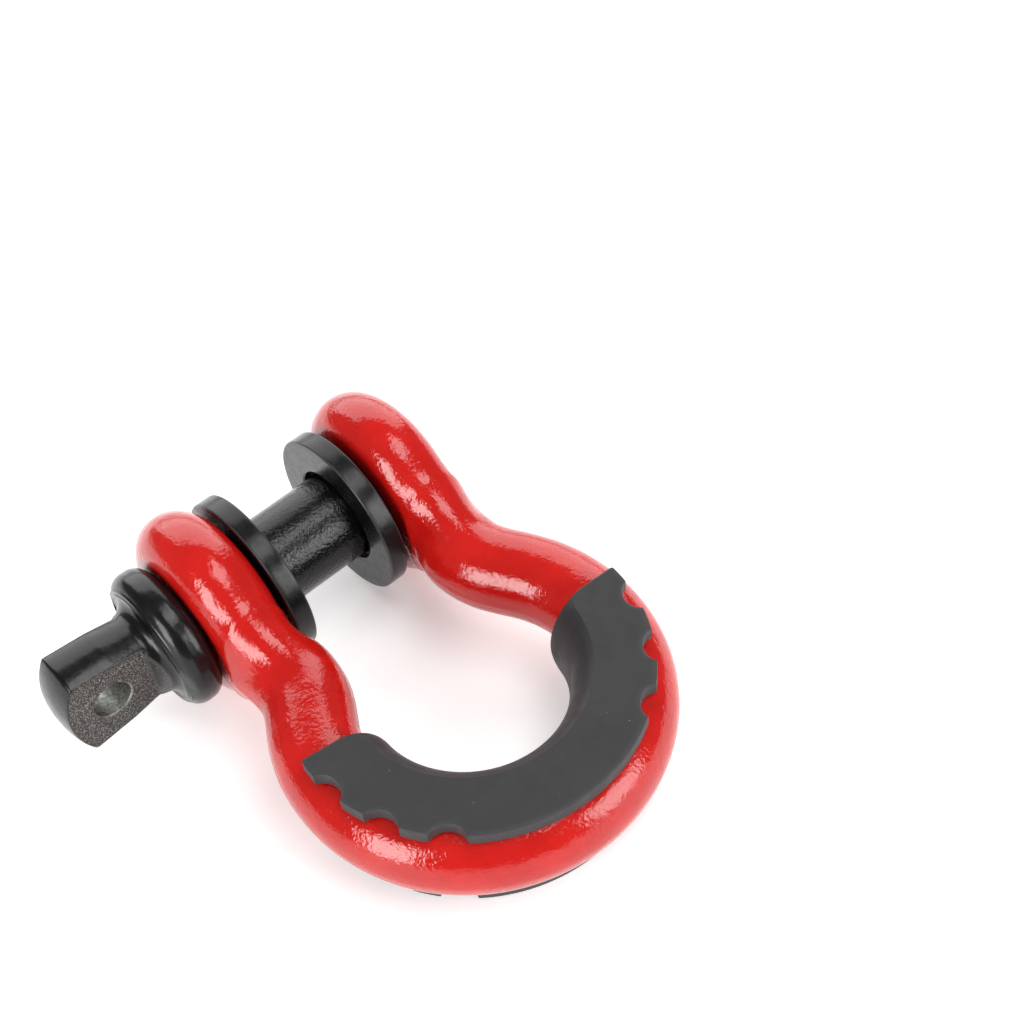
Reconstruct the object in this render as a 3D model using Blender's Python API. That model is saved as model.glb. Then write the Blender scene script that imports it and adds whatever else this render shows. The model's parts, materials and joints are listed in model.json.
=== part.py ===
"""Bow shackle with a screw pin, two loose pin washers and a moulded bow guard.

The bow lies flat: X runs from the pin to the crown of the bow, Y along the pin from its head to its
threaded tip, and Z out of the plane of the bow. That bow frame hangs from one empty, which tips it
about the pin so that the shackle lies on its two ears and on the rim of the guard, with the world
origin under the middle of the whole outline. All sizes are in metres.
"""

import bmesh
import bpy
import numpy as np
from mathutils import Vector

FIT_GAP = 0.0003  # clearance left between pieces that touch

# Forged bow
BAR_RADIUS = 0.0100
BOW_RADIUS = 0.0351  # centreline of the crown
BOW_CENTRE_X = 0.0618  # from the pin's axis to the middle of the crown's arc
CROWN_HALF_ANGLE = np.radians(114)
ROOT_BAR_RADIUS = 0.0088  # the bar is slimmest at its root, where it leaves the ear
ROOT_INSIDE_WASHER = 0.0018  # the root lies this far inside the rim of the washers
ROOT_OFF_JAW = 0.0007  # the root's inner side stands this far behind the ear's inner face
WAIST_FROM_ROOT = 0.0110
WAIST_INSET = 0.0016  # from its root to its waist a leg closes in by this much
EAR_RADIUS = 0.0240
EAR_THICKNESS = 0.0170
JAW_WIDTH = 0.0344  # between the ears' inner faces
EAR_BLEND = 0.0036  # reach of the fillet between an ear and its leg

# Screw pin
PIN_RADIUS = 0.0111
PLAIN_BORE_CLEARANCE = 0.0005
TIP_PROUD = 0.0006
TIP_CHAMFER = 0.0016
BORE_CHAMFER = 0.0012
COLLAR_RADIUS = 0.0176
COLLAR_THICKNESS = 0.0088
COLLAR_ROUNDING = 0.0038
NECK_RADIUS = 0.0106
NECK_FILLET = 0.0030
HEAD_LENGTH = 0.0187  # from the neck's fillet to the edge of the dome
HEAD_SHOULDER = 0.0080  # length over which the neck swells to the head
HEAD_SHOULDER_RADIUS = 0.0121
HEAD_END_RADIUS = 0.0132
HEAD_DOME = 0.0040
HEAD_THICKNESS = 0.0121  # across the two flats, which face the crown and away from it
FLAT_START = 0.0010  # from the neck's fillet to the flats
FLAT_RAMP = 0.0040
EYE_RADIUS = 0.0048
EYE_TO_DOME = 0.0077  # from the eye's centre to the edge of the dome

# Washers
WASHER_RADIUS = 0.0208
WASHER_THICKNESS = 0.0048
WASHER_BORE_CLEARANCE = 0.0012  # between the pin and a washer's bore
WASHER_CHAMFER = 0.0005
HEAD_WASHER_OFF_EAR = 0.0007  # the loose washers stand this far from their ears
TIP_WASHER_OFF_EAR = 0.0018

# Bow guard
GUARD_HALF_ANGLE = np.radians(93)
GUARD_TURN = np.radians(-6.5)  # how far the loose guard has crept round the crown
GUARD_WALL = 0.0036
GUARD_NOSE = 0.0058  # how far the rounded saddle reaches in from the flat plates
GUARD_RIM_RADIUS = 0.0402
NOTCH_RADIUS = 0.0046
NOTCH_DEPTH = 0.0027
NOTCH_ANGLES = np.radians([40, 60, 80])

BAR_SIDES = 24
TURNED_SIDES = 48
GUARD_STATIONS = 56

WASHER_BORE_RADIUS = PIN_RADIUS + WASHER_BORE_CLEARANCE
ROOT_X = WASHER_RADIUS - ROOT_INSIDE_WASHER
ROOT_HALF_WIDTH = JAW_WIDTH / 2 + ROOT_OFF_JAW + ROOT_BAR_RADIUS
WAIST_X = ROOT_X + WAIST_FROM_ROOT
WAIST_HALF_WIDTH = ROOT_HALF_WIDTH - WAIST_INSET
EAR_HALF = EAR_THICKNESS / 2
EAR_MIDDLE_Y = JAW_WIDTH / 2 + EAR_HALF
EAR_OUTER_Y = JAW_WIDTH / 2 + EAR_THICKNESS
COLLAR_FACE_Y = -EAR_OUTER_Y - FIT_GAP
TIP_Y = EAR_OUTER_Y + TIP_PROUD
NECK_Y = COLLAR_FACE_Y - COLLAR_THICKNESS - NECK_FILLET
DOME_Y = NECK_Y - HEAD_LENGTH
HEAD_END_Y = DOME_Y - HEAD_DOME
GUARD_CHANNEL_RADIUS = BAR_RADIUS + FIT_GAP
GUARD_HALF_HEIGHT = GUARD_CHANNEL_RADIUS + GUARD_WALL
GUARD_CREASE_RADIUS = BOW_RADIUS - GUARD_CHANNEL_RADIUS - GUARD_WALL + GUARD_NOSE

# The floor touches both ears and the lower rim of the guard's crown.
RIM_REACH = np.hypot(BOW_CENTRE_X + GUARD_RIM_RADIUS, GUARD_HALF_HEIGHT)
RIM_DIP = np.arctan2(GUARD_HALF_HEIGHT, BOW_CENTRE_X + GUARD_RIM_RADIUS)
REST_TILT = np.arcsin(EAR_RADIUS / RIM_REACH) - RIM_DIP


def clear_scene():
    """Empties the file, so that the part starts from nothing."""
    for item in list(bpy.data.objects):
        bpy.data.objects.remove(item, do_unlink=True)


def make_material(name, colour, roughness, metallic):
    """A plain Principled finish."""
    material = bpy.data.materials.new(name)
    material.use_nodes = True
    shader = material.node_tree.nodes["Principled BSDF"]
    shader.inputs["Base Color"].default_value = (*colour, 1.0)
    shader.inputs["Roughness"].default_value = roughness
    shader.inputs["Metallic"].default_value = metallic
    return material


def add_object(name, mesh_data, material, parent):
    """Wraps a bmesh as a smooth-shaded object under the given parent."""
    mesh = bpy.data.meshes.new(name)
    mesh_data.to_mesh(mesh)
    mesh_data.free()
    mesh.shade_smooth()
    mesh.set_sharp_from_angle(angle=np.radians(35))
    obj = bpy.data.objects.new(name, mesh)
    if material is not None:
        mesh.materials.append(material)
    bpy.context.scene.collection.objects.link(obj)
    obj.parent = parent
    return obj


def loft(rings, wrap=False, poles=None):
    """Skins equal rings of points, each a closed loop, into a closed bmesh.

    wrap joins the last ring to the first. poles gives two end points, and without them each end is
    closed by one flat face.
    """
    skin = bmesh.new()
    rows = [[skin.verts.new(point) for point in ring] for ring in rings]
    pairs = list(zip(rows, rows[1:]))
    if wrap:
        pairs.append((rows[-1], rows[0]))
    for near, far in pairs:
        for i in range(len(near)):
            j = (i + 1) % len(near)
            skin.faces.new((near[i], near[j], far[j], far[i]))
    if poles is not None:
        for pole, row in zip(poles, (rows[0], rows[-1])):
            tip = skin.verts.new(pole)
            for i in range(len(row)):
                skin.faces.new((row[i], row[(i + 1) % len(row)], tip))
    elif not wrap:
        skin.faces.new(rows[0])
        skin.faces.new(rows[-1])
    bmesh.ops.recalc_face_normals(skin, faces=skin.faces)
    return skin


def turned(profile, sides=TURNED_SIDES, wrap=False, poles=None):
    """Turns a profile of (radius, y) points about the Y axis."""
    angles = np.linspace(0, 2 * np.pi, sides, endpoint=False)
    rings = [[(r * np.cos(a), y, r * np.sin(a)) for a in angles] for r, y in profile]
    return loft(rings, wrap, poles)


def arc_points(centre, radius, start, end, count):
    """Points along an arc, as (first, second) pairs, with both ends included."""
    angles = np.linspace(start, end, count)
    return [(centre[0] + radius * np.cos(a), centre[1] + radius * np.sin(a)) for a in angles]


def add_cut(obj, cutter):
    """Takes a hidden cutter out of an object with an exact Boolean."""
    cutter.hide_render = True
    cutter.display_type = "WIRE"
    cutter.hide_set(True)
    cut = obj.modifiers.new(cutter.name, "BOOLEAN")
    cut.operation = "DIFFERENCE"
    cut.solver = "EXACT"
    cut.object = cutter


def bezier(start, start_handle, end_handle, end, count):
    """Points on one cubic Bezier, without its end point."""
    t = np.linspace(0, 1, count, endpoint=False)[:, None]
    return (
        (1 - t) ** 3 * start
        + 3 * (1 - t) ** 2 * t * start_handle
        + 3 * (1 - t) * t**2 * end_handle
        + t**3 * end
    )


def half_centreline():
    """The forging's centreline in its own plane, from behind one ear to the middle of the crown.

    It runs straight through the ear to the leg's root, closes in to the waist, swings out onto the
    crown's arc and follows it to the line of symmetry.
    """
    ear = np.array([0.0, EAR_MIDDLE_Y])
    root = np.array([ROOT_X, ROOT_HALF_WIDTH])
    waist = np.array([WAIST_X, WAIST_HALF_WIDTH])
    arc_end = CROWN_HALF_ANGLE
    shoulder = np.array([BOW_CENTRE_X + BOW_RADIUS * np.cos(arc_end), BOW_RADIUS * np.sin(arc_end)])
    along_arc = np.array([np.sin(arc_end), -np.cos(arc_end)])
    forward = np.array([1.0, 0.0])
    ear_span = np.linalg.norm(root - ear) / 3
    root_span = np.linalg.norm(waist - root) / 3
    leg_span = np.linalg.norm(shoulder - waist) * 0.4
    # Stations crowd towards the rounded back of the ear.
    behind = -EAR_RADIUS * np.cos(np.linspace(0, np.pi / 2, 10, endpoint=False)[1:])
    back = np.stack([behind, np.full_like(behind, EAR_MIDDLE_Y)], axis=1)
    through = bezier(ear, ear + forward * ear_span, root - forward * ear_span, root, 8)
    inward = bezier(root, root + forward * root_span, waist - forward * root_span, waist, 4)
    leg = bezier(waist, waist + forward * leg_span, shoulder - along_arc * leg_span, shoulder, 7)
    turn = np.linspace(arc_end, 0, 17)
    crown = np.stack([BOW_CENTRE_X + BOW_RADIUS * np.cos(turn), BOW_RADIUS * np.sin(turn)], axis=1)
    return np.concatenate([back, through, inward, leg, crown])


def ear_distance(points):
    """Signed distance to the ear at +Y: a thick disc about the pin's axis with a full-round rim."""
    beyond = np.maximum(np.hypot(points[..., 0], points[..., 2]) - (EAR_RADIUS - EAR_HALF), 0)
    return np.hypot(beyond, points[..., 1] - EAR_MIDDLE_Y) - EAR_HALF


def blended(first, second, reach):
    """The smaller of two distances, rounded over where they meet."""
    overlap = np.maximum(reach - np.abs(first - second), 0) / reach
    return np.minimum(first, second) - reach * overlap**2 / 4


def forging_rings():
    """Rings of points round the centreline, out to where ear and bar, filleted together, end."""
    path = half_centreline()
    path = np.concatenate([path, (path * [1, -1])[-2::-1]])
    tangent = np.gradient(path, axis=0)
    tangent /= np.linalg.norm(tangent, axis=1, keepdims=True)
    angles = np.linspace(0, 2 * np.pi, BAR_SIDES, endpoint=False)
    sideways = np.stack([-tangent[:, 1], tangent[:, 0], np.zeros(len(path))], axis=1)
    outward = (
        np.cos(angles)[None, :, None] * sideways[:, None, :]
        + np.sin(angles)[None, :, None] * np.array([0.0, 0.0, 1.0])
    )
    centre = np.column_stack([path, np.zeros(len(path))])[:, None, :]
    # Each ray starts inside the forging, so halving the bracket closes in on its one surface.
    inside = np.zeros(outward.shape[:2])
    outside = np.full(outward.shape[:2], 1.5 * EAR_RADIUS)
    # The bar grows out of the ear's middle, which keeps the ear's faces flat, and there is no bar
    # behind the pin's axis.
    x = path[:, :1]
    bar_radius = ROOT_BAR_RADIUS * np.clip(x / ROOT_X, 0, 1) ** 2
    bar_radius += (BAR_RADIUS - ROOT_BAR_RADIUS) * np.clip((x - ROOT_X) / (WAIST_X - ROOT_X), 0, 1)
    bar_radius[x < 0] = -EAR_RADIUS
    for _ in range(40):
        middle = (inside + outside) / 2
        points = centre + middle[..., None] * outward
        points[..., 1] = np.abs(points[..., 1])
        distance = blended(ear_distance(points), middle - bar_radius, EAR_BLEND)
        outside = np.where(distance > 0, middle, outside)
        inside = np.where(distance > 0, inside, middle)
    return centre + inside[..., None] * outward


def make_bow(material, parent):
    """The forged body: crown, legs and ears, with one plain and one threaded bore."""
    poles = [(-EAR_RADIUS, EAR_MIDDLE_Y, 0), (-EAR_RADIUS, -EAR_MIDDLE_Y, 0)]
    bow = add_object("bow_body", loft(forging_rings(), poles=poles), material, parent)
    bores = {
        "plain_bore": (-1, PIN_RADIUS + PLAIN_BORE_CLEARANCE),
        "threaded_bore": (1, PIN_RADIUS + FIT_GAP),
    }
    for name, (side, radius) in bores.items():
        outer = side * EAR_OUTER_Y
        inner = side * JAW_WIDTH / 2
        wide = radius + BORE_CHAMFER
        profile = [
            (wide + EAR_HALF, outer + side * EAR_HALF),
            (wide, outer),
            (radius, outer - side * BORE_CHAMFER),
            (radius, inner + side * BORE_CHAMFER),
            (wide, inner),
            (wide + EAR_HALF, inner - side * EAR_HALF),
        ]
        add_cut(bow, add_object(name, turned(profile), None, parent))
    return bow


def pin_profile():
    """(radius, y) points of the pin from its threaded tip to the edge of the head's dome."""
    rim = COLLAR_RADIUS - COLLAR_ROUNDING
    back_y = COLLAR_FACE_Y - COLLAR_THICKNESS
    tip = [(PIN_RADIUS - TIP_CHAMFER, TIP_Y), (PIN_RADIUS, TIP_Y - TIP_CHAMFER)]
    shank = tip + [(PIN_RADIUS, COLLAR_FACE_Y)]
    front = arc_points((rim, COLLAR_FACE_Y - COLLAR_ROUNDING), COLLAR_ROUNDING, np.pi / 2, 0, 6)
    back = arc_points((rim, back_y + COLLAR_ROUNDING), COLLAR_ROUNDING, 0, -np.pi / 2, 6)
    fillet = arc_points((NECK_RADIUS + NECK_FILLET, NECK_Y), NECK_FILLET, np.pi / 2, np.pi, 6)
    head = [(HEAD_SHOULDER_RADIUS, NECK_Y - HEAD_SHOULDER), (HEAD_END_RADIUS, DOME_Y)]
    return shank + front + back + fillet + head


def dome_profile(steps=7):
    """(radius, y) points over the head's domed end, without its edge and its pole."""
    radius = (HEAD_END_RADIUS**2 + HEAD_DOME**2) / (2 * HEAD_DOME)
    centre = (0.0, HEAD_END_Y + radius)
    edge = -np.arccos(HEAD_END_RADIUS / radius)
    return arc_points(centre, radius, edge, -np.pi / 2, steps)[1:-1]


def make_pin(material, parent):
    """The screw pin: shank, collar, neck and a head with two flats and a cross hole."""
    profile = pin_profile() + dome_profile()
    poles = [(0, TIP_Y, 0), (0, HEAD_END_Y, 0)]
    pin = add_object("screw_pin", turned(profile, poles=poles), material, parent)
    half = HEAD_THICKNESS / 2
    reach = 2 * HEAD_END_RADIUS
    start_y = NECK_Y - FLAT_START
    for name, side in (("upper_flat", 1), ("lower_flat", -1)):
        outline = [
            (side * half, HEAD_END_Y - reach),
            (side * half, start_y),
            (side * (half + FLAT_RAMP), start_y + FLAT_RAMP / 2),
            (side * reach, start_y + FLAT_RAMP / 2),
            (side * reach, HEAD_END_Y - reach),
        ]
        rings = [[(x, y, z) for x, y in outline] for z in (-reach, reach)]
        add_cut(pin, add_object(name, loft(rings), None, parent))
    eye_y = DOME_Y + EYE_TO_DOME
    angles = np.linspace(0, 2 * np.pi, TURNED_SIDES // 2, endpoint=False)
    circle = [(EYE_RADIUS * np.cos(a), EYE_RADIUS * np.sin(a)) for a in angles]
    rings = [[(x, eye_y + y, z) for y, z in circle] for x in (-reach, reach)]
    add_cut(pin, add_object("eye", loft(rings), None, parent))
    return pin


def make_washer(name, middle_y, material, parent):
    """A thick flat washer, loose on the pin, with its origin at its own middle."""
    half = WASHER_THICKNESS / 2
    edge = WASHER_CHAMFER
    profile = [
        (WASHER_BORE_RADIUS + edge, half),
        (WASHER_RADIUS - edge, half),
        (WASHER_RADIUS, half - edge),
        (WASHER_RADIUS, edge - half),
        (WASHER_RADIUS - edge, -half),
        (WASHER_BORE_RADIUS + edge, -half),
        (WASHER_BORE_RADIUS, edge - half),
        (WASHER_BORE_RADIUS, half - edge),
    ]
    washer = add_object(name, turned(profile, wrap=True), material, parent)
    washer.location = (0, middle_y, 0)
    return washer


def guard_section():
    """(radius from the crown's centre, z) points of the guard's C-shaped section, as a loop."""
    top = GUARD_HALF_HEIGHT
    nose = arc_points((0, 0), 1, np.pi / 2, 3 * np.pi / 2, 13)
    saddle = [(GUARD_CREASE_RADIUS + r * GUARD_NOSE, z * top) for r, z in nose]
    channel = arc_points((BOW_RADIUS, 0), GUARD_CHANNEL_RADIUS, 3 * np.pi / 2, np.pi / 2, 13)
    lower_rim = [(GUARD_RIM_RADIUS, -top), (GUARD_RIM_RADIUS, -GUARD_CHANNEL_RADIUS)]
    upper_rim = [(GUARD_RIM_RADIUS, GUARD_CHANNEL_RADIUS), (GUARD_RIM_RADIUS, top)]
    return saddle + lower_rim + channel + upper_rim


def make_guard(material, parent):
    """The moulded guard on the crown, with its origin at the middle of the crown's arc."""
    section = guard_section()
    turns = GUARD_TURN + np.linspace(-GUARD_HALF_ANGLE, GUARD_HALF_ANGLE, GUARD_STATIONS)
    rings = [[(r * np.cos(a), r * np.sin(a), z) for r, z in section] for a in turns]
    guard = add_object("bow_guard", loft(rings), material, parent)
    guard.location = (BOW_CENTRE_X, 0, 0)
    notch_centre = GUARD_RIM_RADIUS - NOTCH_DEPTH + NOTCH_RADIUS
    circle = np.linspace(0, 2 * np.pi, 20, endpoint=False)
    reach = 2 * GUARD_HALF_HEIGHT
    notch_angles = GUARD_TURN + np.concatenate([NOTCH_ANGLES, -NOTCH_ANGLES])
    for number, angle in enumerate(notch_angles, start=1):
        middle = Vector((BOW_CENTRE_X + notch_centre * np.cos(angle), notch_centre * np.sin(angle), 0))
        rings = [
            [middle + Vector((NOTCH_RADIUS * np.cos(a), NOTCH_RADIUS * np.sin(a), z)) for a in circle]
            for z in (-reach, reach)
        ]
        add_cut(guard, add_object(f"notch_{number}", loft(rings), None, parent))
    return guard


def main():
    """Builds the shackle in its resting pose."""
    clear_scene()
    red = make_material("red_paint", (0.68, 0.02, 0.015), 0.28, 0.0)
    black = make_material("black_paint", (0.02, 0.02, 0.022), 0.38, 0.0)
    washer_black = make_material("black_washer", (0.035, 0.036, 0.038), 0.45, 0.0)
    rubber = make_material("black_rubber", (0.055, 0.055, 0.06), 0.75, 0.0)

    frame = bpy.data.objects.new("resting_frame", None)
    bpy.context.scene.collection.objects.link(frame)
    frame.rotation_euler = (0, REST_TILT, 0)
    crown_reach = (BOW_CENTRE_X + BOW_RADIUS) * np.cos(REST_TILT) + BAR_RADIUS
    side_reach = max(BOW_RADIUS + BAR_RADIUS, TIP_Y)
    frame.location = ((EAR_RADIUS - crown_reach) / 2, -(HEAD_END_Y + side_reach) / 2, EAR_RADIUS)

    make_bow(red, frame)
    make_pin(black, frame)
    half_washer = WASHER_THICKNESS / 2
    head_y = HEAD_WASHER_OFF_EAR + half_washer - JAW_WIDTH / 2
    tip_y = JAW_WIDTH / 2 - TIP_WASHER_OFF_EAR - half_washer
    make_washer("head_side_washer", head_y, washer_black, frame)
    make_washer("tip_side_washer", tip_y, washer_black, frame)
    make_guard(rubber, frame)


main()
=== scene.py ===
"""Bow shackle with a screw pin, two pin washers and a moulded bow guard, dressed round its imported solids.

Every shape is worked out in the bow's own frame: X runs from the pin's axis to the crown, Y along the
pin from its head to its threaded tip, and Z out of the plane of the bow. RestFrame turns that frame into
the world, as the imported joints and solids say. All sizes are in metres.
"""

from __future__ import annotations

import json
import logging
from dataclasses import dataclass
from enum import Enum

import bmesh
import bpy
import numpy as np
from mathutils import Matrix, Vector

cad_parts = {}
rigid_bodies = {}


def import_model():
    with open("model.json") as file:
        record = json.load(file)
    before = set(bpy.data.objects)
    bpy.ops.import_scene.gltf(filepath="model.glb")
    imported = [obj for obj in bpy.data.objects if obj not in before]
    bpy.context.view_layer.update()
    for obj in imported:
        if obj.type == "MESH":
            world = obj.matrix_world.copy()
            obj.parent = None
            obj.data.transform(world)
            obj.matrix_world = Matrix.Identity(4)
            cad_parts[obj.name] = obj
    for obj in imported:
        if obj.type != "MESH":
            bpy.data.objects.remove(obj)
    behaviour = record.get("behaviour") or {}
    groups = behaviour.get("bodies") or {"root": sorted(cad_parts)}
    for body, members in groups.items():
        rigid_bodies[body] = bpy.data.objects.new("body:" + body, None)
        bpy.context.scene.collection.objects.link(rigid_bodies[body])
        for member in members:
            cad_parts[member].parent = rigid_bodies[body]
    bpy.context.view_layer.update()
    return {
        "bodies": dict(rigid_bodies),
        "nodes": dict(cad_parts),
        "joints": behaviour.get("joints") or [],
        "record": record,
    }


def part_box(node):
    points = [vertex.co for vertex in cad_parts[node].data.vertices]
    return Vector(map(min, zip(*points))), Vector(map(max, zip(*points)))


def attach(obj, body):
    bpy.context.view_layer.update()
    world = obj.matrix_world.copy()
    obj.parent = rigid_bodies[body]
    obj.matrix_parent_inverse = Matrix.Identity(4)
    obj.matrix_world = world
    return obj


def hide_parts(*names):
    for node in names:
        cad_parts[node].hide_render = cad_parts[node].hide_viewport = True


LOG = logging.getLogger("shackle")
TAU = 2 * np.pi
MM = 0.001
SHACKLE_MIDDLE = (0.0, 0.0, 0.02)
SHARP_DEG = 38  # a cut edge turns by more than this, and forged skin by less

Colour = tuple[float, float, float]
Range = tuple[float, float]
Value = bpy.types.NodeSocket | Colour | float


class Slot(Enum):
    """The record's material slots."""

    RED = "red_paint"
    BLACK = "black_paint"
    WASHER = "washer_black"
    GUARD = "guard_rubber"


# ---- Frame and meshes


@dataclass(frozen=True)
class RestFrame:
    """Where the bow's own frame lies in the world.

    tilt is the lean about the pin's axis that lets the guard's rim reach the floor.
    """

    tilt: float
    origin: np.ndarray

    @classmethod
    def from_pack(cls, pack: dict) -> RestFrame:
        """Reads the lean and the jaw's middle from the guard's joint, and the pin's axis from its box.


        Returns:
            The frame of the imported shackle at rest.
        """
        turn = next(j for j in pack["joints"] if j["name"] == "guard_turn")
        axis = np.array(turn["axis"], float)
        pin_low, pin_high = (np.array(corner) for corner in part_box("screw_pin"))
        middle_y = turn["pos_m"][1]
        origin = np.array([(pin_low[0] + pin_high[0]) / 2, middle_y, (pin_low[2] + pin_high[2]) / 2])
        return cls(tilt=float(np.arctan2(axis[0], axis[2])), origin=origin)

    @property
    def rotation(self) -> np.ndarray:
        """Rotation by the lean about Y, as a 3 by 3 matrix whose columns are the bow's axes."""
        c, s = np.cos(self.tilt), np.sin(self.tilt)
        return np.array([[c, 0.0, s], [0.0, 1.0, 0.0], [-s, 0.0, c]])

    def place(self, points: np.ndarray) -> np.ndarray:
        """World points = rotation times the bow's points, plus the origin."""
        return np.asarray(points, float) @ self.rotation.T + self.origin

    def unplace(self, points: np.ndarray) -> np.ndarray:
        """The bow's points = inverse rotation times (world points minus the origin)."""
        return (np.asarray(points, float) - self.origin) @ self.rotation


def grid_faces(rows: int, columns: int, wrap_rows: bool = False) -> np.ndarray:
    """Quads between neighbouring rows of a grid whose columns wrap round.

    Vertex (i, j) has the number i * columns + j. Each quad joins (i, j), (i, j + 1), (i + 1, j + 1)
    and (i + 1, j).

    Args:
        rows: number of rings.
        columns: number of points on each ring.
        wrap_rows: whether the last ring joins the first, as on a ring turned from a closed profile.

    Returns:
        An array of quads.
    """
    i = np.arange(rows if wrap_rows else rows - 1)[:, None]
    j = np.arange(columns)[None, :]
    after = (i + 1) % rows
    beside = (j + 1) % columns
    corners = (i * columns + j, i * columns + beside, after * columns + beside, after * columns + j)
    return np.stack(np.broadcast_arrays(*corners), axis=-1).reshape(-1, 4)


def signed_volume(points: np.ndarray, quads: np.ndarray, triangles: np.ndarray) -> float:
    """Sum of the tetrahedra from the origin to each face, which is positive when faces point out.

    Args:
        points: (n, 3) vertices.
        quads: (m, 4) faces.
        triangles: (k, 3) faces.

    Returns:
        The volume.
    """
    faces = np.concatenate([quads[:, [0, 1, 2]], quads[:, [0, 2, 3]], triangles])
    a, b, c = (points[faces[:, k]] for k in range(3))
    return float(np.einsum("ij,ij->i", a, np.cross(b, c)).sum() / 6)


def linked(name: str, data: bpy.types.ID) -> bpy.types.Object:
    """Makes an object and puts it into the scene.

    Args:
        name: the object's name.
        data: its mesh, light or camera.

    Returns:
        The object.
    """
    obj = bpy.data.objects.new(name, data)
    bpy.context.scene.collection.objects.link(obj)
    return obj


def add_mesh(name: str, points: np.ndarray, quads: np.ndarray, triangles: np.ndarray) -> bpy.types.Object:
    """Makes a smooth object from whole arrays, with its faces turned to point outwards.

    Args:
        name: the piece's name.
        points: (n, 3) vertices in the world.
        quads: (m, 4) faces.
        triangles: (k, 3) faces.

    Returns:
        The linked object, unturned and unscaled at the origin.
    """
    triangles = np.asarray(triangles, int).reshape(-1, 3)
    if signed_volume(points, quads, triangles) < 0:
        quads, triangles = quads[:, ::-1], triangles[:, ::-1]
    mesh = bpy.data.meshes.new(name)
    mesh.from_pydata(points.tolist(), [], quads.tolist() + triangles.tolist())
    mesh.update()
    mesh.shade_smooth()
    return linked(name, mesh)


def skin_grid(name: str, rest: RestFrame, grid: np.ndarray, poles: np.ndarray | None = None,
              wrap_rows: bool = False) -> bpy.types.Object:
    """Skins a (rows, columns, 3) grid of the bow's points, with a fan of triangles to each pole.

    Args:
        name: the piece's name.
        rest: the shackle's frame.
        grid: rings of points, each a closed loop.
        poles: two points that close the first and the last ring, or None.
        wrap_rows: whether the last ring joins the first.

    Returns:
        The object.
    """
    rows, columns = grid.shape[:2]
    points = grid.reshape(-1, 3)
    triangles = np.empty((0, 3), int)
    if poles is not None:
        j = np.arange(columns)
        beside = (j + 1) % columns
        first = np.stack([np.full(columns, rows * columns), beside, j], axis=1)
        last = np.stack([np.full(columns, rows * columns + 1), j, beside], axis=1)
        last[:, 1:] += (rows - 1) * columns
        triangles = np.concatenate([first, last])
        points = np.concatenate([points, poles])
    return add_mesh(name, rest.place(points), grid_faces(rows, columns, wrap_rows), triangles)


def full_turn(sides: int) -> np.ndarray:
    """Even turns round a circle, as one row."""
    return np.linspace(0, TAU, sides, endpoint=False)[None, :]


def turned(radius: np.ndarray, y: np.ndarray, angle: np.ndarray) -> np.ndarray:
    """Points about the pin's axis: (r cos a, y, r sin a), with the three arrays broadcast."""
    return np.stack(np.broadcast_arrays(radius * np.cos(angle), y, radius * np.sin(angle)), axis=-1)


def arc(centre: tuple[float, float], radius: float, start: float, end: float, count: int) -> np.ndarray:
    """Points centre + radius (cos t, sin t) for t from start to end."""
    t = np.linspace(start, end, count)
    return np.stack([centre[0] + radius * np.cos(t), centre[1] + radius * np.sin(t)], axis=1)


def resampled(points: np.ndarray, spacing: float) -> np.ndarray:
    """The same line with extra points between its corners, which stay.

    Args:
        points: (n, d) corners.
        spacing: the longest step that is left.

    Returns:
        The finer line.
    """
    steps = np.linalg.norm(np.diff(points, axis=0), axis=1)
    parts = [
        a + (b - a) * np.linspace(0, 1, max(1, int(np.ceil(step / spacing))), endpoint=False)[:, None]
        for a, b, step in zip(points, points[1:], steps)
    ]
    return np.concatenate([*parts, points[-1:]])


def smooth_step(value: np.ndarray, low: float, high: float) -> np.ndarray:
    """0 below low, 1 above high, and 3 t^2 - 2 t^3 between them."""
    t = np.clip((value - low) / (high - low), 0, 1)
    return t * t * (3 - 2 * t)


def ripple(points: np.ndarray, wavelength: float, seed: int, waves: int = 14) -> np.ndarray:
    """A smooth uneven field between about -1 and 1: a sum of plane waves in seeded directions.

    Args:
        points: (..., 3) places.
        wavelength: the middle wavelength.
        seed: picks the directions and phases.
        waves: how many waves are added.

    Returns:
        The field's value at each point.
    """
    draw = np.random.default_rng(seed)
    direction = draw.normal(size=(waves, 3))
    direction /= np.linalg.norm(direction, axis=1, keepdims=True)
    number = TAU / (wavelength * draw.uniform(0.65, 1.6, waves))
    phase = draw.uniform(0, TAU, waves)
    flat = points.reshape(-1, 3)
    total = np.sin(flat @ (direction * number[:, None]).T + phase).sum(axis=1)
    return (total / np.sqrt(waves / 2) / 2).reshape(points.shape[:-1])


def set_attribute(obj: bpy.types.Object, name: str, values: np.ndarray) -> None:
    """Stores one number for each vertex under a name that a finish can read."""
    attribute = obj.data.attributes.new(name, "FLOAT", "POINT")
    attribute.data.foreach_set("value", np.ascontiguousarray(values, np.float32))


def near(distance: np.ndarray, width: float) -> np.ndarray:
    """1 at no distance, fading as exp(-(distance / width)^2)."""
    return np.exp(-((distance / width) ** 2))


def vertices_of(obj: bpy.types.Object) -> np.ndarray:
    """Reads all vertices of a mesh.

    Args:
        obj: the mesh's object.

    Returns:
        An (n, 3) array.
    """
    co = np.empty(len(obj.data.vertices) * 3, np.float32)
    obj.data.vertices.foreach_get("co", co)
    return co.reshape(-1, 3).astype(float)


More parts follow.
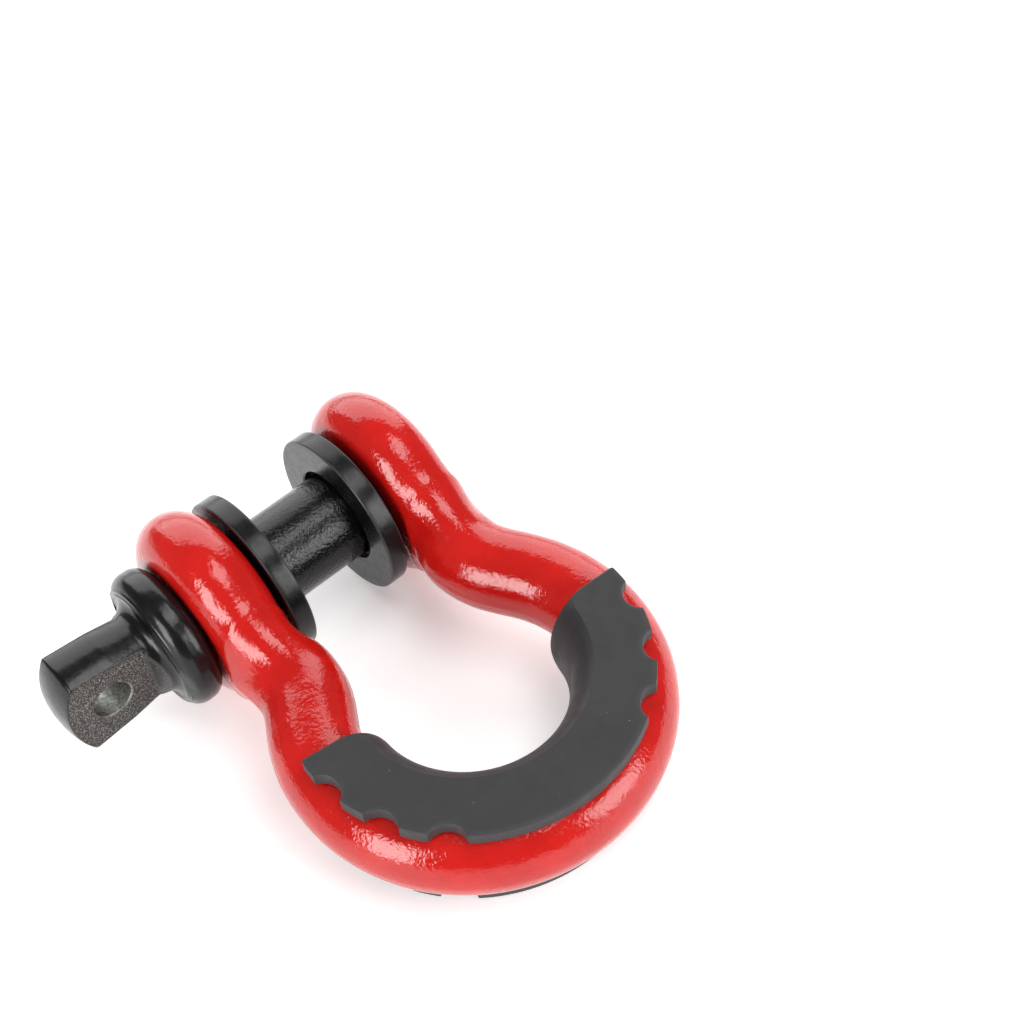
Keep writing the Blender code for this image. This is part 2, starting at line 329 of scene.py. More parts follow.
def cut(obj: bpy.types.Object, cutters: list[bpy.types.Object]) -> None:
    """Takes cutters out of a piece for good, and marks what is then a sharp edge.

    Args:
        obj: the piece.
        cutters: closed meshes, removed afterwards.
    """
    for cutter in cutters:
        modifier = obj.modifiers.new(cutter.name, "BOOLEAN")
        modifier.operation = "DIFFERENCE"
        modifier.solver = "EXACT"
        modifier.object = cutter
    bpy.context.view_layer.update()
    graph = bpy.context.evaluated_depsgraph_get()
    mesh = bpy.data.meshes.new_from_object(obj.evaluated_get(graph))
    mesh.name = obj.name
    old = obj.data
    obj.modifiers.clear()
    obj.data = mesh
    mesh.materials.clear()
    bpy.data.meshes.remove(old)
    for cutter in cutters:
        bpy.data.objects.remove(cutter, do_unlink=True)
    mesh.shade_smooth()
    mesh.set_sharp_from_angle(angle=np.radians(SHARP_DEG))


# ---- Finishes


class NodeBench:
    """One material's node tree, with short ways to add the nodes that the finishes share."""

    def __init__(self, name: str) -> None:
        """Starts a material with its Principled shader.

        Args:
            name: the material's name.
        """
        self.material = bpy.data.materials.new(name)
        self.material.use_nodes = True
        self.tree = self.material.node_tree
        self.shader = self.tree.nodes["Principled BSDF"]
        self.coordinates = self.tree.nodes.new("ShaderNodeTexCoord")

    def join(self, source: bpy.types.NodeSocket, target: bpy.types.NodeSocket) -> None:
        """Links two sockets."""
        self.tree.links.new(source, target)

    def fix(self, **values: float) -> None:
        """Sets shader sockets that are the same all over, named with underscores for spaces."""
        for name, value in values.items():
            self.shader.inputs[name.replace("_", " ")].default_value = value

    def feed(self, target: bpy.types.NodeSocket, value: Value) -> None:
        """Gives an input its value.

        Args:
            target: the input.
            value: a socket to link, a number, or a colour, which is made opaque.
        """
        if isinstance(value, bpy.types.NodeSocket):
            self.join(value, target)
        else:
            target.default_value = (*value, 1.0) if isinstance(value, tuple) else value

    def node(self, kind: str, output: str, **inputs: Value) -> bpy.types.NodeSocket:
        """Adds a node and feeds its inputs.

        Args:
            kind: the node's type.
            output: the output that is wanted.
            inputs: values by input name, with underscores for spaces.

        Returns:
            The output's socket.
        """
        node = self.tree.nodes.new(kind)
        for name, value in inputs.items():
            self.feed(node.inputs[name.replace("_", " ")], value)
        return node.outputs[output]

    def noise(self, size: float, detail: float = 3.0, roughness: float = 0.55) -> bpy.types.NodeSocket:
        """Noise of about 0.5 in the middle, whose blobs are about size across, in metres.

        Args:
            size: width of a blob.
            detail: octaves.
            roughness: weight of the finer octaves.

        Returns:
            The noise's value.
        """
        place = self.coordinates.outputs["Object"]
        return self.node("ShaderNodeTexNoise", "Fac", Vector=place, Scale=1 / size, Detail=detail,
                         Roughness=roughness)

    def cells(self, size: float) -> bpy.types.NodeSocket:
        """Distance to the nearest of scattered points about size apart, in cell widths."""
        return self.node("ShaderNodeTexVoronoi", "Distance", Vector=self.coordinates.outputs["Object"],
                         Scale=1 / size)

    def attribute(self, name: str) -> bpy.types.NodeSocket:
        """Reads a number stored on the mesh.

        Args:
            name: what set_attribute stored it under.

        Returns:
            The number, 0 where a mesh has none.
        """
        node = self.tree.nodes.new("ShaderNodeAttribute")
        node.attribute_name = name
        return node.outputs["Fac"]

    def spread(self, value: bpy.types.NodeSocket, source: Range,
               target: Range = (0, 1)) -> bpy.types.NodeSocket:
        """Maps a range of a value onto another, and holds it at the ends.

        Args:
            value: what to map.
            source: its range.
            target: the range it becomes.

        Returns:
            The mapped value.
        """
        ends = dict(zip(("From_Min", "From_Max", "To_Min", "To_Max"), (*source, *target)))
        return self.node("ShaderNodeMapRange", "Result", Value=value, **ends)

    def patches(self, size: float, detail: float, target: Range = (0, 1)) -> bpy.types.NodeSocket:
        """Noise whose middle third is spread over a range, so that it has flat lows and highs."""
        return self.spread(self.noise(size, detail), (0.35, 0.65), target)

    def math(self, operation: str, *values: Value) -> bpy.types.NodeSocket:
        """One step of arithmetic on up to three values.

        Args:
            operation: the Math node's name for it.
            values: sockets or numbers, in the node's order.

        Returns:
            The result.
        """
        node = self.tree.nodes.new("ShaderNodeMath")
        node.operation = operation
        for socket, value in zip(node.inputs, values):
            self.feed(socket, value)
        return node.outputs["Value"]

    def sum(self, first: Value, second: Value, share: float) -> bpy.types.NodeSocket:
        """first + share times second."""
        return self.math("MULTIPLY_ADD", second, share, first)

    def times(self, first: Value, second: Value) -> bpy.types.NodeSocket:
        """The product of two values."""
        return self.math("MULTIPLY", first, second)

    def blend(self, share: bpy.types.NodeSocket, first: Value, second: Value) -> bpy.types.NodeSocket:
        """A colour that goes from first to second as share goes from 0 to 1.

        Args:
            share: the mix.
            first: a colour socket, or a red, green, blue tuple.
            second: the same.

        Returns:
            The mixed colour.
        """
        node = self.tree.nodes.new("ShaderNodeMix")
        node.data_type = "RGBA"
        for index, value in ((0, share), (6, first), (7, second)):
            self.feed(node.inputs[index], value)
        return node.outputs[2]

    def bump(self, height: bpy.types.NodeSocket, depth: float,
             under: bpy.types.NodeSocket | None = None) -> bpy.types.NodeSocket:
        """Relief of a height from 0 to 1 that is depth deep, in metres, on top of another relief.

        Args:
            height: the relief.
            depth: its full depth.
            under: the normal below it, or None.

        Returns:
            The bent normal.
        """
        below = {} if under is None else {"Normal": under}
        return self.node("ShaderNodeBump", "Normal", Strength=1.0, Distance=depth, Height=height, **below)

    def finish(self, colour: bpy.types.NodeSocket, roughness: bpy.types.NodeSocket,
               normal: bpy.types.NodeSocket) -> bpy.types.Material:
        """Joins the three patterns to the shader.

        Args:
            colour: base colour.
            roughness: roughness.
            normal: the bent normal.

        Returns:
            The material.
        """
        for name, pattern in (("Base Color", colour), ("Roughness", roughness), ("Normal", normal)):
            self.join(pattern, self.shader.inputs[name])
        return self.material


@dataclass(frozen=True)
class ForgedRedPaint:
    """Thick glossy red paint that lets the rough forging under it show as uneven orange peel."""

    deep: Colour = (0.415, 0.0066, 0.0046)
    bright: Colour = (0.485, 0.0095, 0.0068)
    # a darker red for the painted shade in the crevice round each bore's mouth
    worn_and_shaded: Colour = (0.22, 0.007, 0.006)
    gloss: Range = (0.045, 0.085)
    lump_depth: float = 0.1105 * MM
    peel_depth: float = 0.085 * MM
    pit_depth: float = 0.022 * MM
    refraction: float = 1.5

    def build(self) -> bpy.types.Material:
        """Mixes slow colour drift, patchy gloss and three sizes of relief.

        Returns:
            The paint.
        """
        bench = NodeBench("forged_red_paint")
        drift = bench.spread(bench.noise(11 * MM, 4), (0.38, 0.62))
        colour = bench.blend(drift, self.deep, self.bright)
        # a darker red ring round each bore's mouth, from the share stored on the mesh: a painted shade in the
        # crevice round the pin
        colour = bench.blend(bench.attribute("wear_and_painted_light"), colour, self.worn_and_shaded)
        roughness = bench.sum(bench.patches(3 * MM, 3, self.gloss), bench.noise(1.1 * MM, 2), 0.03)
        lumps = bench.bump(bench.noise(3.4 * MM, 2, 0.4), self.lump_depth)
        peel = bench.bump(bench.noise(0.85 * MM, 2.5, 0.6), self.peel_depth, lumps)
        pits = bench.bump(bench.spread(bench.cells(1.9 * MM), (0.0, 0.24)), self.pit_depth, peel)
        bench.fix(IOR=self.refraction)
        return bench.finish(colour, roughness, pits)


@dataclass(frozen=True)
class BlackPinPaint:
    """Black paint on a rough forging, blasted bare on the head's flats and worn to steel in the eye."""

    black: Colour = (0.0035, 0.0035, 0.0042)
    grey: Colour = (0.0060, 0.0060, 0.0070)
    blasted: Colour = (0.008, 0.0075, 0.007)
    speck: Colour = (0.31, 0.28, 0.255)
    steel: Colour = (0.40, 0.41, 0.38)
    tarnish: Colour = (0.17, 0.17, 0.155)
    scratch: Colour = (0.045, 0.043, 0.042)
    gloss: Range = (0.20, 0.27)
    pebbled_gloss: float = -0.14
    blasted_gloss: float = 0.24
    bare_gloss: float = 0.22
    skin_depth: float = 0.09 * MM
    pebble_depth: float = 0.13 * MM
    grit_depth: float = 0.07 * MM
    refraction: float = 1.4

    def build(self) -> bpy.types.Material:
        """Mixes four places, painted, pebbled, blasted and bare, by the numbers stored on the mesh.

        Returns:
            The paint.
        """
        bench = NodeBench("black_pin_paint")
        places = ("blasted", "bare", "wear_and_painted_light", "pebbled")
        flat, bare, worn_and_shaded, pebbled = (bench.attribute(name) for name in places)
        mottle = bench.spread(bench.noise(2.6 * MM, 4), (0.36, 0.66))
        grains = bench.spread(bench.noise(0.36 * MM, 2, 0.7), (0.50, 0.68))
        painted = bench.blend(mottle, self.black, self.grey)
        colour = bench.blend(flat, painted, bench.blend(grains, self.blasted, self.speck))
        rubbed_and_painted_light = bench.spread(bench.noise(0.9 * MM, 3), (0.45, 0.6))
        colour = bench.blend(bench.times(worn_and_shaded, rubbed_and_painted_light), colour, self.scratch)
        metal = bench.blend(bench.patches(0.7 * MM, 4), self.tarnish, self.steel)
        colour = bench.blend(bare, colour, metal)
        roughness = bench.patches(1.6 * MM, 3, self.gloss)
        for place, change in (
            (pebbled, self.pebbled_gloss), (flat, self.blasted_gloss), (bare, self.bare_gloss),
        ):
            roughness = bench.sum(roughness, place, change)
        pebbles = bench.sum(bench.noise(0.85 * MM, 2, 0.6), bench.noise(0.45 * MM, 2, 0.6), 0.5)
        skin = bench.bump(bench.noise(3.0 * MM, 3), self.skin_depth)
        scale = bench.bump(bench.times(pebbles, pebbled), self.pebble_depth, skin)
        grit = bench.bump(bench.times(grains, flat), self.grit_depth, scale)
        bench.fix(IOR=self.refraction)
        bench.join(bare, bench.shader.inputs["Metallic"])
        return bench.finish(colour, roughness, grit)


@dataclass(frozen=True)
class TurnedBlack:
    """Satin black washer with fine turning rings about the pin's axis, a few pale scuffs, and pale broken
    edges that are partly worn and partly a painted highlight.
    """

    dark: Colour = (0.0040, 0.0040, 0.0046)
    light: Colour = (0.0068, 0.0068, 0.0076)
    scuff_and_highlight: Colour = (0.07, 0.07, 0.072)
    gloss: Range = (0.20, 0.29)
    ring_pitch: float = 0.28 * MM
    ring_depth: float = 0.006 * MM
    grain_depth: float = 0.010 * MM
    refraction: float = 1.36

    def build(self) -> bpy.types.Material:
        """Rings are a sine of the stored distance round the profile, so they follow faces and rim.

        Returns:
            The finish.
        """
        bench = NodeBench("turned_black")
        colour = bench.blend(bench.patches(7 * MM, 4), self.dark, self.light)
        scuffs = bench.spread(bench.noise(0.8 * MM, 5, 0.7), (0.66, 0.74), (0, 0.8))
        # random pale scuffs, then the broken edges from the stored share: worn edges with a painted highlight
        # along them
        for share in (scuffs, bench.attribute("wear_and_painted_light")):
            colour = bench.blend(share, colour, self.scuff_and_highlight)
        phase = bench.times(bench.attribute("along"), TAU / self.ring_pitch)
        rings = bench.spread(bench.math("SINE", phase), (-1, 1))
        grain = bench.bump(bench.noise(0.5 * MM, 2), self.grain_depth)
        normal = bench.bump(bench.times(rings, bench.noise(5 * MM, 2)), self.ring_depth, grain)
        bench.fix(IOR=self.refraction)
        return bench.finish(colour, bench.patches(2.2 * MM, 3, self.gloss), normal)


@dataclass(frozen=True)
class MouldedRubber:
    """Matte moulded rubber: a fine spark-eroded skin, paler rim faces that are partly rubbed and partly
    painted light, and scattered dust.
    """

    dark: Colour = (0.0145, 0.0140, 0.0155)
    light: Colour = (0.0180, 0.0175, 0.0190)
    rubbed_and_painted_light: Colour = (0.032, 0.032, 0.035)
    dust: Colour = (0.30, 0.29, 0.28)
    gloss: Range = (0.50, 0.62)
    skin_depth: float = 0.018 * MM
    wave_depth: float = 0.10 * MM
    refraction: float = 1.45

    def build(self) -> bpy.types.Material:
        """Mixes slow colour drift, a paler tone on the rim faces that is partly rubbed and partly painted
        light, rare dust specks and a fine relief.

        Returns:
            The finish.
        """
        bench = NodeBench("moulded_rubber")
        colour = bench.blend(bench.patches(14 * MM, 4), self.dark, self.light)
        # the plates' rim faces and their edges are painted paler: rubbed rubber, and painted light on the
        # faces that turn to the lamps
        colour = bench.blend(bench.attribute("wear_and_painted_light"), colour, self.rubbed_and_painted_light)
        specks = bench.spread(bench.cells(3.1 * MM), (0.025, 0.050), (1, 0))
        rare = bench.spread(bench.noise(9 * MM, 2), (0.52, 0.60), (0, 0.75))
        colour = bench.blend(bench.times(specks, rare), colour, self.dust)
        skin = bench.bump(bench.noise(0.30 * MM, 2), self.skin_depth)
        waves = bench.bump(bench.noise(6 * MM, 2), self.wave_depth, skin)
        bench.fix(IOR=self.refraction)
        return bench.finish(colour, bench.patches(4 * MM, 3, self.gloss), waves)


# ---- Pieces


@dataclass(frozen=True)
class PinFit:
    """The sizes that the pin shares with the ears and the washers."""

    pin_radius: float = 11.1 * MM
    jaw_width: float = 34.4 * MM
    ear_thickness: float = 17.0 * MM
    fit_gap: float = 0.3 * MM
    thread_pitch: float = 2.8 * MM
    thread_depth: float = 1.35 * MM

    @property
    def jaw_face(self) -> float:
        """Distance of an ear's inner face from the middle of the jaw."""
        return self.jaw_width / 2

    @property
    def outer_face(self) -> float:
        """Distance of an ear's outer face from the middle of the jaw."""
        return self.jaw_width / 2 + self.ear_thickness

    def ridge(self, y: np.ndarray, angle: np.ndarray) -> np.ndarray:
        """Height of the right-hand thread from its root, 0 to 1, at places along and round the pin.

        The ridge's phase is y / pitch plus the turn, so its crest climbs like a screw's. Its section
        is a cosine squared off a little, which leaves narrow crests and narrow roots.

        Args:
            y: places along the pin's axis.
            angle: turns about it, from X towards Z.

        Returns:
            The height at each place.
        """
        wave = np.cos(TAU * y / self.thread_pitch + angle)
        return np.clip(0.5 + 0.68 * wave, 0, 1)


@dataclass
class Bow:
    """The forged bow with its ears, bores and the trimmed flash line along its mid-plane."""

    fit: PinFit
    bar_radius: float = 10.0 * MM
    bow_radius: float = 35.1 * MM
    centre_x: float = 61.8 * MM
    crown_half_angle: float = np.radians(114)
    root_bar_radius: float = 8.8 * MM
    root: tuple[float, float] = (19.0 * MM, 26.7 * MM)
    waist: tuple[float, float] = (30.0 * MM, 25.1 * MM)
    ear_radius: float = 23.95 * MM
    ear_blend: float = 3.6 * MM
    top_blend: float = 15.0 * MM
    washer_seat: float = 21.3 * MM
    collar_seat: float = 18.4 * MM
    collar_run_out: float = 26.0 * MM
    seat_relief: float = 6.0 * MM
    machined_edge: Range = (20.5 * MM, 24.0 * MM)
    plain_clearance: float = 0.5 * MM
    bore_chamfer: float = 1.2 * MM
    flash_height: float = 0.16 * MM
    flash_half_width: float = 0.95 * MM
    flash_edge: float = 0.35 * MM
    lump_height: float = 0.08 * MM
    crown_start: Range = (-18.0 * MM, -2.0 * MM)
    crown_calm: float = 0.75
    crown_sink: float = 0.28
    ray_crowding: float = 1.3
    crowding_end: float = 6.0 * MM
    halvings: int = 34
    sides: int = 150

    @property
    def ear_middle(self) -> float:
        """Distance of an ear's middle from the middle of the jaw."""
        return self.fit.jaw_face + self.fit.ear_thickness / 2

    def half_path(self) -> np.ndarray:
        """The centreline in the bow's plane, from behind one ear to the middle of the crown.

        It runs straight through the ear, closes in to the waist on one cubic, swings out on another
        and follows the crown's arc.

        Returns:
            The line's points, as (n, 2).
        """
        ear = np.array([0.0, self.ear_middle])
        root, waist = np.array(self.root), np.array(self.waist)
        end = self.crown_half_angle
        crown = arc((self.centre_x, 0.0), self.bow_radius, end, 0, 120)
        along = np.array([np.sin(end), -np.cos(end)])
        ahead = np.array([1.0, 0.0])
        behind = -self.ear_radius * np.cos(np.linspace(0, np.pi / 2, 60, endpoint=False)[1:])
        back = np.stack([behind, np.full_like(behind, ear[1])], axis=1)
        to_root, to_waist = (ahead * np.linalg.norm(step) / 3 for step in (root - ear, waist - root))
        leg_span = np.linalg.norm(crown[0] - waist) * 0.4
        return np.concatenate([
            back,
            self.cubic(ear, to_root, to_root, root, 36),
            self.cubic(root, to_waist, to_waist, waist, 22),
            self.cubic(waist, ahead * leg_span, along * leg_span, crown[0], 42),
            crown,
        ])

    @staticmethod
    def cubic(start: np.ndarray, out: np.ndarray, into: np.ndarray, end: np.ndarray,
              count: int) -> np.ndarray:
        """Points of a cubic Bezier without its end: (1-t)^3 a + 3(1-t)^2 t b + 3(1-t) t^2 c + t^3 d.

        Args:
            start: first point, a.
            out: the vector from a to b.
            into: the vector from c to d.
            end: last point, d.
            count: number of points.

        Returns:
            The points.
        """
        t = np.linspace(0, 1, count, endpoint=False)[:, None]
        second, third = start + out, end - into
        return (1 - t) ** 3 * start + 3 * (1 - t) ** 2 * t * second + 3 * (1 - t) * t**2 * third + t**3 * end

    def ear_distance(self, points: np.ndarray) -> np.ndarray:
        """Signed distance to the ear at +Y, a thick disc about the pin's axis with a full-round rim.

        Args:
            points: (..., 3) places.

        Returns:
            The distance at each place, negative inside.
        """
        half = self.fit.ear_thickness / 2
        beyond = np.maximum(np.hypot(points[..., 0], points[..., 2]) - (self.ear_radius - half), 0)
        return np.hypot(beyond, points[..., 1] - self.ear_middle) - half

    def bar_at(self, x: np.ndarray) -> np.ndarray:
        """Radius of the bar along the legs: it grows out of the ear's middle and swells to the waist.

        Args:
            x: distance from the pin's axis.

        Returns:
            The radius, or less than nothing behind the pin, where only the ear counts.
        """
        root_x, waist_x = self.root[0], self.waist[0]
        radius = self.root_bar_radius * np.clip(x / root_x, 0, 1) ** 2
        radius = radius + (self.bar_radius - self.root_bar_radius) * smooth_step(x, root_x, waist_x)
        return np.where(x < 0, -self.ear_radius, radius)

    def rings(self) -> np.ndarray:
        """Rings round the whole centreline, out to the forging's surface.

        Each ray starts on the centreline, square to it, and its length is found by halving a
        bracket on the smooth minimum of the ear's and the bar's distance. They melt together over
        a longer stretch above and below than at the sides. Rays crowd towards the rims of the flat
        ears. The result is then moved along its ray by the lumps and the flash.

        Returns:
            The bow's points as (stations, sides, 3).
        """
        half = self.half_path()
        path = np.concatenate([half, (half * [1, -1])[-2::-1]])
        tangent = np.gradient(path, axis=0)
        tangent /= np.linalg.norm(tangent, axis=1, keepdims=True)
        turn = full_turn(self.sides)
        stretch = 1 + self.ray_crowding * (1 - smooth_step(path[:, :1], self.crowding_end, self.waist[0]))
        angle = np.arctan2(stretch * np.sin(turn), np.cos(turn))[..., None]
        sideways = np.stack([-tangent[:, 1], tangent[:, 0], np.zeros(len(path))], axis=1)[:, None, :]
        outward = np.cos(angle) * sideways + np.sin(angle) * np.array([0.0, 0.0, 1.0])
        centre = np.column_stack([path, np.zeros(len(path))])[:, None, :]
        bar = self.bar_at(path[:, :1])
        blend = self.ear_blend + (self.top_blend - self.ear_blend) * np.abs(outward[..., 2]) ** 3
        inside = np.zeros(outward.shape[:2])
        outside = np.full(outward.shape[:2], 1.5 * self.ear_radius)
        for _ in range(self.halvings):
            middle = (inside + outside) / 2
            points = centre + middle[..., None] * outward
            points[..., 1] = np.abs(points[..., 1])
            ear, rod = self.ear_distance(points), middle - bar
            overlap = np.maximum(blend - np.abs(ear - rod), 0) / blend
            distance = np.minimum(ear, rod) - blend * overlap**2 / 4
            outside = np.where(distance > 0, middle, outside)
            inside = np.where(distance > 0, inside, middle)
        surface = centre + inside[..., None] * outward
        surface = surface + self.relief(surface)[..., None] * outward
        return self.faced(surface)

    def faced(self, surface: np.ndarray) -> np.ndarray:
        """Cuts the seats of the washers and of the collar flat, and lets them run out into the leg.

        Args:
            surface: the bow's points.

        Returns:
            The same points with |y| held between the seats.
        """
        from_pin = np.hypot(surface[..., 0], surface[..., 2])
        washer = smooth_step(from_pin, self.washer_seat, self.waist[0])
        collar = smooth_step(from_pin, self.collar_seat, self.collar_run_out)
        low = self.fit.jaw_face - self.seat_relief * washer
        high = self.fit.outer_face + self.seat_relief * collar
        reach = np.abs(surface[..., 1])
        held = np.where(from_pin < self.waist[0], np.clip(reach, low, high), reach)
        surface[..., 1] = np.where(surface[..., 1] < 0, -held, held)
        return surface

    def relief(self, surface: np.ndarray) -> np.ndarray:
        """How far the skin stands off the ideal forging: lumps of two sizes, and the trimmed flash.

        The machined faces under the washers, the collar and the tip stay true, and the crown is
        calmer and a little sunk, so that the guard clears it.

        Args:
            surface: the bow's points.

        Returns:
            The height at each point.
        """
        lumps = ripple(surface, 15 * MM, seed=3) + 0.45 * ripple(surface, 5.5 * MM, seed=4)
        flash_start = self.flash_half_width - self.flash_edge
        flash = 1 - smooth_step(np.abs(surface[..., 2]), flash_start, self.flash_half_width)
        uneven = 0.8 + 0.2 * ripple(surface, 9 * MM, seed=5)
        from_pin = np.hypot(surface[..., 0], surface[..., 2])
        reach = np.abs(surface[..., 1])
        ear_face = (reach < self.fit.jaw_face + 1 * MM) | (reach > self.fit.outer_face - 1 * MM)
        machined = np.where(ear_face, 1 - smooth_step(from_pin, *self.machined_edge), 0)
        stands = -0.5 * self.lump_height * (1 - lumps) + self.flash_height * flash * uneven
        crown = smooth_step(surface[..., 0] - self.centre_x, *self.crown_start)
        stands = stands * (1 - self.crown_calm * crown) - self.crown_sink * self.fit.fit_gap * crown
        return stands * (1 - machined)

    def bore_cutter(self, rest: RestFrame, side: int, threaded: bool) -> bpy.types.Object:
        """The shape of one bore: a chamfered cylinder, with the thread's grooves where it is tapped.

        Args:
            rest: the shackle's frame.
            side: -1 for the ear at the pin's head, 1 for the other.
            threaded: whether the bore is tapped.

        Returns:
            A closed cutter that runs past both faces.
        """
        clearance = self.fit.fit_gap if threaded else self.plain_clearance
        radius = self.fit.pin_radius + clearance
        past = 3 * MM
        y = np.linspace(self.fit.jaw_face - past, self.fit.outer_face + past, 96)
        chamfer = radius + self.bore_chamfer
        cone = np.maximum(chamfer - (y - self.fit.jaw_face), chamfer - (self.fit.outer_face - y))
        wall = np.maximum(np.minimum(cone, chamfer + past), radius)[:, None]
        angle = full_turn(128)
        if threaded:
            groove = self.fit.thread_depth * self.fit.ridge(y[:, None], angle)
            wall = np.maximum(wall, radius + groove)
        poles = np.array([[0, side * y[0], 0], [0, side * y[-1], 0]])
        return skin_grid("bore", rest, turned(wall, side * y[:, None], angle), poles)

    def build(self, rest: RestFrame, paint: bpy.types.Material) -> bpy.types.Object:
        """Skins the forging, bores the ears and marks a ring round the bores' mouths that is painted darker,
        a painted shade in the crevice round the pin.

        Args:
            rest: the shackle's frame.
            paint: its material.

        Returns:
            The finished piece.
        """
        poles = np.array([[-self.ear_radius, self.ear_middle, 0], [-self.ear_radius, -self.ear_middle, 0]])
        bow = skin_grid("forged_bow", rest, self.rings(), poles)
        cut(bow, [self.bore_cutter(rest, -1, False), self.bore_cutter(rest, 1, True)])
        own = rest.unplace(vertices_of(bow))
        from_pin = np.hypot(own[:, 0], own[:, 2])
        # the ring at each bore's mouth is painted darker red, a painted shade in the crevice round the pin
        mouth = near(from_pin - self.fit.pin_radius - self.bore_chamfer, 0.9 * MM)
        on_ear = np.abs(own[:, 1]) > self.fit.jaw_face - 1 * MM
        set_attribute(bow, "wear_and_painted_light", np.where(on_ear & (from_pin < 16 * MM), 0.8 * mouth, 0))
        bow.data.materials.append(paint)
        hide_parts("bow_body")
        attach(bow, "bow")
        return bow


@dataclass
class Pin:
    """The screw pin: threaded tip, shank, collar, neck and a flattened head with a cross hole."""

    fit: PinFit
    tip_proud: float = 0.6 * MM
    tip_chamfer: float = 1.6 * MM
    collar_radius: float = 17.6 * MM
    collar_thickness: float = 8.8 * MM
    collar_rounding: float = 3.8 * MM
    neck_radius: float = 10.6 * MM
    neck_fillet: float = 3.0 * MM
    head_length: float = 18.7 * MM
    shoulder: tuple[float, float] = (12.1 * MM, 8.0 * MM)
    head_end_radius: float = 13.2 * MM
    head_dome: float = 4.0 * MM
    flat_gap: float = 12.1 * MM
    flat_start: float = 1.0 * MM
    flat_slope: float = 2.0
    edge_rounding: float = 0.55 * MM
    eye_radius: float = 4.8 * MM
    eye_to_dome: float = 7.7 * MM
    eye_chamfer: float = 0.45 * MM
    step_radii: tuple[float, float] = (15.4 * MM, 14.2 * MM)
    step_width: float = 0.30 * MM
    step_depth: float = 0.22 * MM
    blasted_ramp: float = 6.0 * MM

    @property
    def tip_y(self) -> float:
        """Place of the tip's end face."""
        return self.fit.outer_face + self.tip_proud

    @property
    def collar_y(self) -> float:
        """Place of the collar's face that meets the ear."""
        return -self.fit.outer_face - self.fit.fit_gap

    @property
    def neck_y(self) -> float:
        """Place where the collar's fillet ends in the neck."""
        return self.collar_y - self.collar_thickness - self.neck_fillet

    @property
    def dome_y(self) -> float:
        """Place of the dome's edge."""
        return self.neck_y - self.head_length

    @property
    def end_y(self) -> float:
        """Place of the dome's highest point, which is the pin's other end."""
        return self.dome_y - self.head_dome

    @property
    def flats_y(self) -> float:
        """Place where the flats begin to rise to the neck."""
        return self.neck_y - self.flat_start

    @property
    def eye_y(self) -> float:
        """Place of the eye's axis."""
        return self.dome_y + self.eye_to_dome

    def angles(self) -> np.ndarray:
        """Turns round the pin, crowded where the flats' long edges run.

        Returns:
            The turns, in order.
        """
        edge = np.degrees(np.arccos(self.flat_gap / 2 / self.head_end_radius))
        quarter = np.concatenate([
            np.linspace(0, edge - 7, 15, endpoint=False),
            np.linspace(edge - 7, edge + 5, 24, endpoint=False),
            np.linspace(edge + 5, 90, 10, endpoint=False),
        ])
        mirrored = 180 - np.append(quarter[1:], 90)[::-1]
        half = np.concatenate([quarter, mirrored])
        return np.radians(np.concatenate([half, half + 180]))

    def shank_profile(self) -> np.ndarray:
        """(radius, y) from the tip's chamfer to the end of the neck, sampled finely.

        Straight runs join arcs on the collar's two rims and on the fillet. Two low turned steps ring
        the collar's back.

        Returns:
            The profile, as (n, 2).
        """
        radius, rim = self.fit.pin_radius, self.collar_radius - self.collar_rounding
        back_y = self.collar_y - self.collar_thickness
        corners = [
            [radius - self.tip_chamfer, self.tip_y],
            [radius, self.tip_y - self.tip_chamfer],
            [radius, self.fit.jaw_face - 2 * MM],
        ]
        threaded = resampled(np.array(corners), 0.16 * MM)
        smooth = resampled(np.array([corners[-1], [radius, self.collar_y]]), 0.9 * MM)[1:]
        front = arc((rim, self.collar_y - self.collar_rounding), self.collar_rounding, np.pi / 2, 0, 22)
        back = arc((rim, back_y + self.collar_rounding), self.collar_rounding, 0, -np.pi / 2, 22)
        foot = self.neck_radius + self.neck_fillet
        flat_back = resampled(np.array([back[-1], [foot, back_y]]), 0.12 * MM)
        fillet = arc((foot, self.neck_y), self.neck_fillet, np.pi / 2, np.pi, 26)
        collar = resampled(np.concatenate([front, back, flat_back[1:], fillet]), 0.14 * MM)
        on_back = collar[:, 1] < back_y + 1.6 * MM
        for place in self.step_radii:
            collar[:, 1] -= self.step_depth * near(collar[:, 0] - place, self.step_width) * on_back
        face = resampled(np.array([[radius, self.collar_y], [rim, self.collar_y]]), 0.5 * MM)[1:-1]
        return np.concatenate([threaded, smooth, face, collar])

    def head_radius(self, y: np.ndarray) -> np.ndarray:
        """Radius of the round head along the neck: it swells in one easy curve to the dome's edge."""
        places = [self.dome_y, self.neck_y - self.shoulder[1], self.neck_y]
        return np.interp(y, places, [self.head_end_radius, self.shoulder[0], self.neck_radius])

    def dome_at(self, distance: np.ndarray) -> np.ndarray:
        """Place along the pin of the dome's skin, a ball's cap, at a distance from the axis."""
        ball = (self.head_end_radius**2 + self.head_dome**2) / (2 * self.head_dome)
        return self.end_y + ball - np.sqrt(ball**2 - distance**2)

    def flattened(self, radius: np.ndarray, y: np.ndarray, angle: np.ndarray) -> np.ndarray:
        """The lesser of the round radius and the flats' reach, rounded over where they meet.

        The flats' reach is half their gap over the cosine of the turn. Their half gap grows with the
        slope towards the neck, which ends them in a curved edge.

        Args:
            radius: round radius at each place.
            y: place along the pin.
            angle: turn round it.

        Returns:
            The radius at each place.
        """
        half = self.flat_gap / 2 + self.flat_slope * np.maximum(y - self.flats_y, 0)
        reach = half / np.maximum(np.abs(np.cos(angle)), 0.05)
        overlap = np.maximum(self.edge_rounding - np.abs(radius - reach), 0) / self.edge_rounding
        return np.minimum(radius, reach) - self.edge_rounding * overlap**2 / 4

